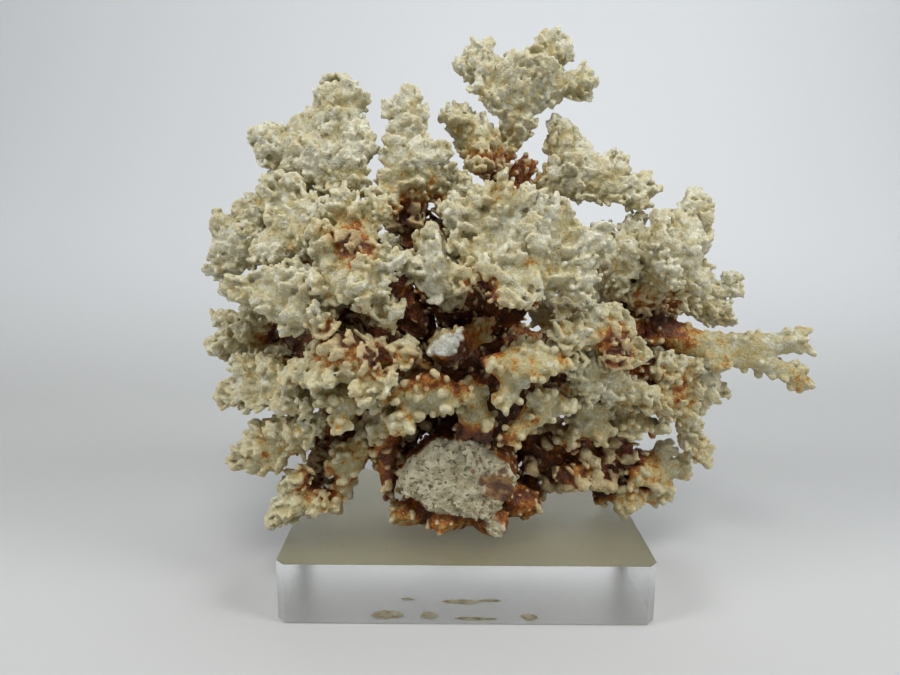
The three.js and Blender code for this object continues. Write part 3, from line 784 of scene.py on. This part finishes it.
def coral_bump(nodes, links, place, grain, scallop):
    """Rounded scallops, with fine grains and crumbs over them."""
    grains = plus(nodes, links, spread(nodes, links, grain, 0.0, 0.6), 0.6, 0.0)
    crumbs = plus(nodes, links, blotches(nodes, links, place, 520, 3.0), 1.0, grains)
    rounded = spread(nodes, links, scallop, 0.75, 0.05)
    bump = nodes.new("ShaderNodeBump")
    bump.inputs["Strength"].default_value = 0.9
    bump.inputs["Distance"].default_value = 0.00045
    links.new(plus(nodes, links, rounded, 0.6, crumbs), bump.inputs["Height"])
    return bump.outputs["Normal"]


def coral_material(name, knob_low, knob_high, broken=None):
    """Stained skeleton with pale knobs and fine pores, and a broken face where it has one; painted shade
    darkens the pores, the creases and the hollows between the knobs, and a painted highlight pales the
    knobs' tops.

    A knob's colour, partly its own and partly a painted highlight, sets in as the skin rises from
    `knob_low` to `knob_high` above the body.
    """
    material, nodes, links, shader = new_material(name)
    place = nodes.new("ShaderNodeTexCoord").outputs["Object"]
    grain = cells(nodes, links, place, 1000)
    scallop = cells(nodes, links, place, 540)
    stained = ragged_stain(nodes, links, place)
    # painted highlight and shade: raised knob tops take the paler knob colour, and the hollows round
    # them keep the darker skeleton colour
    knob_and_painted_highlight_share = spread(nodes, links, attribute(nodes, "raised"), knob_low, knob_high)
    skeleton = skeleton_colour(nodes, links, stained, grain)
    coloured = blend(nodes, links, knob_and_painted_highlight_share, skeleton, pale_knob_and_painted_highlight_colour(nodes, links, stained))
    # painted shade in the pores and creases
    coloured = with_painted_pore_and_crease_shade(nodes, links, coloured, grain, scallop)
    if broken:
        face = broken_face(nodes, links, place, *broken)
        coloured = blend(nodes, links, attribute(nodes, "broken"), coloured, face)
    links.new(coloured, shader.inputs["Base Color"])
    links.new(coral_bump(nodes, links, place, grain, scallop), shader.inputs["Normal"])
    shader.inputs["Roughness"].default_value = 0.48
    shader.inputs["Specular IOR Level"].default_value = 0.42
    shader.inputs["Subsurface Weight"].default_value = 0.6
    shader.inputs["Subsurface Radius"].default_value = (1.0, 0.85, 0.55)
    shader.inputs["Subsurface Scale"].default_value = 0.0018
    return material


def acrylic_material():
    """Clear acrylic, polished on its sides and underside, hazy and dusty on its worn top; its top and
    underside are tinted khaki as painted shade of the shadowed, warm-lit table beneath it.
    """
    polished, haze = 0.02, 0.38
    material, nodes, links, shader = new_material("clear_acrylic_look")
    shader.inputs["IOR"].default_value = 1.49
    shader.inputs["Transmission Weight"].default_value = 1.0
    facing = nodes.new("ShaderNodeSeparateXYZ")
    links.new(nodes.new("ShaderNodeNewGeometry").outputs["True Normal"], facing.inputs[0])
    top = spread(nodes, links, facing.outputs["Z"], 0.8, 0.9)
    under = spread(nodes, links, facing.outputs["Z"], -0.8, -0.9)
    links.new(plus(nodes, links, top, haze, polished), shader.inputs["Roughness"])
    place = nodes.new("ShaderNodeTexCoord").outputs["Object"]
    dust = spread(nodes, links, blotches(nodes, links, place, 330, 1.0), 0.74, 0.78)
    # painted shade: the top is tinted khaki like the shadowed table seen through it, with darker dust
    # spots over that
    top_painted_shade_and_dust = blend(nodes, links, dust, (1.0, 0.96, 0.78), (0.78, 0.72, 0.52))
    # painted shade: the underside is tinted khaki the same way
    sides_and_painted_shade_under = blend(nodes, links, under, (1.0, 1.0, 1.0), (0.98, 0.92, 0.66))
    links.new(blend(nodes, links, top, sides_and_painted_shade_under, top_painted_shade_and_dust), shader.inputs["Base Color"])
    return material


def glue_material():
    """Old glue and dirt: dull olive cream with brown blotches."""
    material, nodes, links, shader = new_material("old_glue_look")
    place = nodes.new("ShaderNodeTexCoord").outputs["Object"]
    brown = spread(nodes, links, blotches(nodes, links, place, 260, 3.0), 0.50, 0.64)
    blotched = blend(nodes, links, brown, (0.50, 0.47, 0.34), (0.24, 0.14, 0.07))
    links.new(blotched, shader.inputs["Base Color"])
    shader.inputs["Roughness"].default_value = 0.8
    return material


def floor_material():
    """Pale grey, with a painted shadow that darkens it a little behind the block and painted light that
    lightens it up the wall.
    """
    # the table's grey, the painted shadow behind the block, and the wall's grey lightened as painted
    # light
    table, behind, wall = (0.585, 0.595, 0.60), (0.52, 0.53, 0.53), (0.70, 0.72, 0.74)
    material, nodes, links, shader = new_material("floor_look")
    place = nodes.new("ShaderNodeSeparateXYZ")
    links.new(nodes.new("ShaderNodeTexCoord").outputs["Object"], place.inputs[0])
    depth = place.outputs["Y"]
    # painted shadow of the coral behind the block
    low = blend(nodes, links, spread(nodes, links, depth, 0.0, 0.15), table, behind)
    # painted light up the wall
    colour = blend(nodes, links, spread(nodes, links, depth, 0.25, 0.60), low, wall)
    links.new(colour, shader.inputs["Base Color"])
    shader.inputs["Roughness"].default_value = 0.6
    return material


# ---------------------------------------------------------------- glue under the block

# Each mark: how far across the block, how far behind its front, half its length and depth
GLUE_MARKS = [
    (0.29, 10.0, 7.0, 5.5),
    (0.40, 9.5, 3.8, 5.0),
    (0.67, 8.5, 3.8, 4.5),
    (0.53, 6.0, 9.0, 2.0),
    (0.49, 26.0, 9.0, 3.2),
    (0.57, 28.0, 5.0, 2.0),
    (0.34, 29.0, 3.0, 1.8),
]
# How far the marks lie inside the underside, and how many corners each has
GLUE_LIFT = 0.05
GLUE_SIDES = 28


def add_glue():
    """Flat, ragged marks just inside the block's underside, which show through its front."""
    rng = np.random.default_rng(SEED)
    points, _ = cad_solid(BLOCK)
    low, high = points.min(0), points.max(0)
    turn = np.linspace(0, 2 * math.pi, GLUE_SIDES, endpoint=False)
    corners, faces = [], []
    for across, behind, half_length, half_depth in GLUE_MARKS:
        ragged = rng.uniform(0.75, 1.15, GLUE_SIDES)
        x = low[0] + across * (high[0] - low[0]) + half_length * ragged * np.cos(turn)
        y = low[1] + behind + half_depth * ragged * np.sin(turn)
        faces.append(tuple(range(len(corners), len(corners) + GLUE_SIDES)))
        corners += [(a * MM, b * MM, (low[2] + GLUE_LIFT) * MM) for a, b in zip(x, y)]
    mesh = bpy.data.meshes.new("old_glue")
    mesh.from_pydata(corners, [], faces)
    mesh.materials.append(glue_material())
    glue = bpy.data.objects.new("old_glue", mesh)
    bpy.context.scene.collection.objects.link(glue)
    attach(glue, "root")


# ---------------------------------------------------------------- the set

# The floor lies a little below the block, so that their faces don't coincide
FLOOR_Z = -0.0004


def make_set():
    """A pale table that sweeps up into a pale wall behind the coral."""
    half, front, bend_start, bend, top = 1.6, -1.0, 0.25, 0.5, 1.8
    turn = np.linspace(0, math.pi / 2, 33)
    profile = [(front, FLOOR_Z)]
    profile += [(bend_start + bend * math.sin(a), FLOOR_Z + bend - bend * math.cos(a)) for a in turn]
    profile += [(bend_start + bend, top)]
    corners = [(x, y, z) for y, z in profile for x in (-half, half)]
    faces = [(2 * i, 2 * i + 1, 2 * i + 3, 2 * i + 2) for i in range(len(profile) - 1)]
    mesh = bpy.data.meshes.new("sweep")
    mesh.from_pydata(corners, [], faces)
    mesh.polygons.foreach_set("use_smooth", np.ones(len(faces), bool))
    mesh.materials.append(floor_material())
    sweep = bpy.data.objects.new("sweep", mesh)
    bpy.context.scene.collection.objects.link(sweep)


def area_light(name, place, target, size, power, colour, spread_angle=180):
    """A round light of that size in metres and power in watts, turned to its target."""
    data = bpy.data.lights.new(name, "AREA")
    data.shape = "DISK"
    data.size = size
    data.energy = power
    data.color = colour
    data.spread = math.radians(spread_angle)
    light = bpy.data.objects.new(name, data)
    light.location = place
    aim = Vector(target) - Vector(place)
    light.rotation_euler = aim.to_track_quat("-Z", "Y").to_euler()
    bpy.context.scene.collection.objects.link(light)


def light_set():
    """Three soft boxes in front, left, right and high up, and a wash of light on the wall."""
    world = bpy.data.worlds.new("soft_room")
    world.use_nodes = True
    sky = world.node_tree.nodes["Background"]
    sky.inputs["Color"].default_value = (0.92, 0.96, 1.0, 1)
    sky.inputs["Strength"].default_value = 0.16
    bpy.context.scene.world = world
    middle = (0.0, 0.0, 0.12)
    area_light("left_box", (-0.85, -0.40, 0.75), middle, 0.40, 4.6, (1.0, 0.98, 0.95))
    area_light("right_box", (0.85, -0.40, 0.75), middle, 0.40, 5.0, (1.0, 0.99, 0.97))
    area_light("front_box", (0.0, -0.60, 0.95), middle, 0.40, 4.4, (1.0, 0.99, 0.96))
    area_light("wall_wash", (0.3, 0.15, 1.5), (0.2, 0.75, 0.75), 0.8, 3.5, (0.94, 0.97, 1.0), 120)


# The photograph's camera, worked out from the block's corners: its place, then its turn to the
# right, its tilt down and its roll in degrees, and its lens
CAMERA_PLACE = (-0.0089, -0.3111, 0.1686)
CAMERA_TURN = (0.29, 11.15, 0.54)
CAMERA_LENS = 28.65


def add_camera():
    """A camera a little above and in front of the block's middle."""
    data = bpy.data.cameras.new("camera")
    data.sensor_width = 36.0
    data.lens = CAMERA_LENS
    data.clip_start = 0.01
    camera = bpy.data.objects.new("camera", data)
    yaw, pitch, roll = (math.radians(angle) for angle in CAMERA_TURN)
    turn = Matrix.Rotation(-yaw, 4, "Z") @ Matrix.Rotation(math.pi / 2 - pitch, 4, "X")
    turn = turn @ Matrix.Rotation(roll, 4, "Z")
    camera.matrix_world = Matrix.Translation(CAMERA_PLACE) @ turn
    bpy.context.scene.collection.objects.link(camera)
    bpy.context.scene.camera = camera


def settle_render():
    """Enough bounces for light to cross the block, and plain colours."""
    bounces = 20
    scene = bpy.context.scene
    scene.cycles.max_bounces = bounces
    scene.cycles.transmission_bounces = bounces
    scene.view_settings.view_transform = "Standard"


# ---------------------------------------------------------------- building it

# Each kind of piece: how it grows, its slot, the heights between which a knob's colour sets in
# with its painted highlight, and its broken face's pale, dark and deep colours where it has such a face
Kind = namedtuple("Kind", "grow slot knob_heights broken")
KINDS = {
    "frond": Kind(grow_frond, "coral_fronds", (0.5, 2.2), None),
    "stub": Kind(grow_frond, "coral_fronds", (0.5, 2.2),
                 ((0.72, 0.72, 0.66), (0.56, 0.55, 0.47), (0.44, 0.42, 0.34))),
    "limb": Kind(grow_limb, "coral_limbs", (0.7, 1.3), None),
    "holdfast": Kind(grow_holdfast, "coral_stump", (0.7, 1.3),
                     ((0.60, 0.56, 0.40), (0.37, 0.33, 0.21), (0.20, 0.17, 0.09))),
}


def kind_of(name):
    """Which of the kinds a piece is."""
    if name == "holdfast":
        return "holdfast"
    if name in LIMBS:
        return "limb"
    return "stub" if name == "broken_stub" else "frond"


def step_of(name):
    """The grid's step for a piece: finer where it shows more."""
    steps = {"holdfast": STEP_HOLDFAST, "limb": STEP_LIMB}
    plain = STEP_BACK if name.startswith("back_") else STEP_FRONT
    return steps.get(kind_of(name), plain) * 1.0


def dress_block():
    """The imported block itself, in clear acrylic, with old glue on its underside."""
    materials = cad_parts[BLOCK].data.materials
    materials.clear()
    materials.append(acrylic_material())
    add_glue()


def grow_coral():
    """Every coral piece, each in its kind's look."""
    looks = {kind: coral_material(kind + "_look", *habit.knob_heights, habit.broken)
             for kind, habit in KINDS.items()}
    for number, (name, (points, triangles)) in enumerate(SOLIDS.items()):
        kind = kind_of(name)
        rng = np.random.default_rng(SEED + number)
        room = Room(points.min(0), points.max(0), step_of(name))
        body, skin = KINDS[kind].grow(name, room, points, triangles, rng)
        piece = write_mesh(name, room, body, skin, looks[kind])


def build():
    """The set with its lights and camera, the block and the coral."""
    settle_render()
    light_set()
    make_set()
    add_camera()
    dress_block()
    grow_coral()


build()
